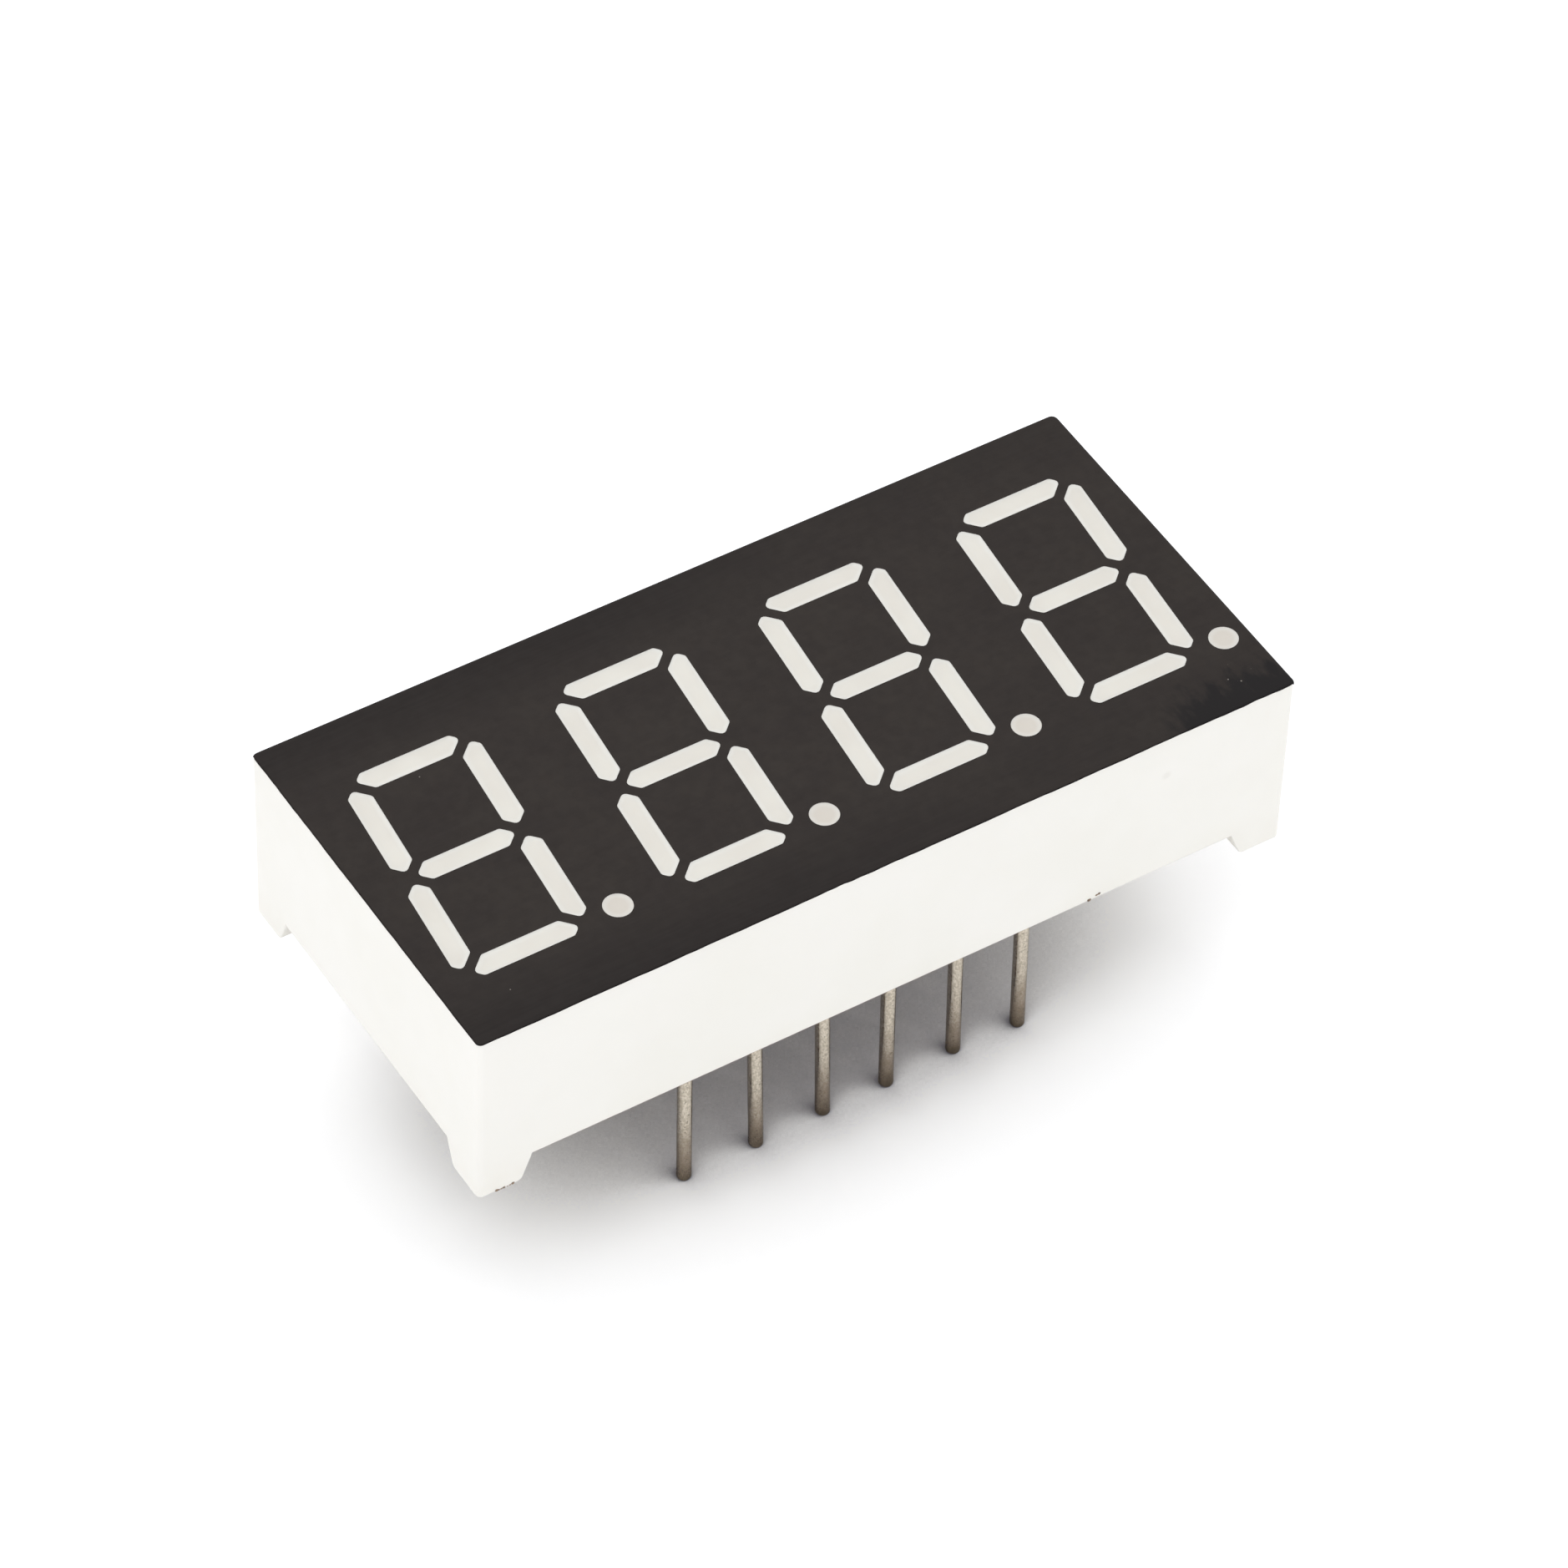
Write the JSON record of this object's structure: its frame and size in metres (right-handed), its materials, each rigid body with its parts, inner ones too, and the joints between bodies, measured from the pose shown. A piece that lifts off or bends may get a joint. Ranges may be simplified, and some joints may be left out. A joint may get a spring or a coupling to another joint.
{
  "type": "seven segment display module",
  "caption": "Through-hole LED numeric display: a white moulded box with slanted seven segment digits and decimal points in a black face, standing on two rows of pins.",
  "frame": {"origin": "centre of the body in plan, on the plane of the pin tips", "axes": "+X is the reading direction along the long side, +Y points to the tops of the digits, +Z looks out of the face"},
  "size_m": [0.03, 0.014, 0.0134],
  "materials": {
    "housing_plastic": "fine moulded white, satin",
    "face_ink": "warm black screen print, matte",
    "segment_resin": "milky cast resin, flush with the face",
    "seal_resin": "cast resin with a slight meniscus",
    "laminate": "glass and epoxy board",
    "copper": "gold-flashed copper foil",
    "solder": "reflowed solder",
    "silver_glue": "silver-filled glue",
    "gold_wire": "drawn gold wire",
    "tinned_pin": "hot-dipped tin, satin and slightly uneven",
    "led_chip": "sawn semiconductor die"
  },
  "bodies": {
    "root": {"housing": "housing_plastic", "face_ink": "face_ink", "segment_resin": "segment_resin", "back_seal": "seal_resin", "circuit_board": "laminate", "front_tracks": "copper", "back_tracks": "copper", "through_plating": "copper", "solder_joints": "solder", "die_attach": "silver_glue", "bond_wires_1": "gold_wire", "bond_wires_2": "gold_wire", "bond_wires_3": "gold_wire", "bond_wires_4": "gold_wire", "pin_1": "tinned_pin", "pin_2": "tinned_pin", "pin_3": "tinned_pin", "pin_4": "tinned_pin", "pin_5": "tinned_pin", "pin_6": "tinned_pin", "pin_7": "tinned_pin", "pin_8": "tinned_pin", "pin_9": "tinned_pin", "pin_10": "tinned_pin", "pin_11": "tinned_pin", "pin_12": "tinned_pin", "chip_1a": "led_chip", "chip_1b": "led_chip", "chip_1c": "led_chip", "chip_1d": "led_chip", "chip_1e": "led_chip", "chip_1f": "led_chip", "chip_1g": "led_chip", "chip_1dp": "led_chip", "chip_2a": "led_chip", "chip_2b": "led_chip", "chip_2c": "led_chip", "chip_2d": "led_chip", "chip_2e": "led_chip", "chip_2f": "led_chip", "chip_2g": "led_chip", "chip_2dp": "led_chip", "chip_3a": "led_chip", "chip_3b": "led_chip", "chip_3c": "led_chip", "chip_3d": "led_chip", "chip_3e": "led_chip", "chip_3f": "led_chip", "chip_3g": "led_chip", "chip_3dp": "led_chip", "chip_4a": "led_chip", "chip_4b": "led_chip", "chip_4c": "led_chip", "chip_4d": "led_chip", "chip_4e": "led_chip", "chip_4f": "led_chip", "chip_4g": "led_chip", "chip_4dp": "led_chip"}
  },
  "joints": []
}
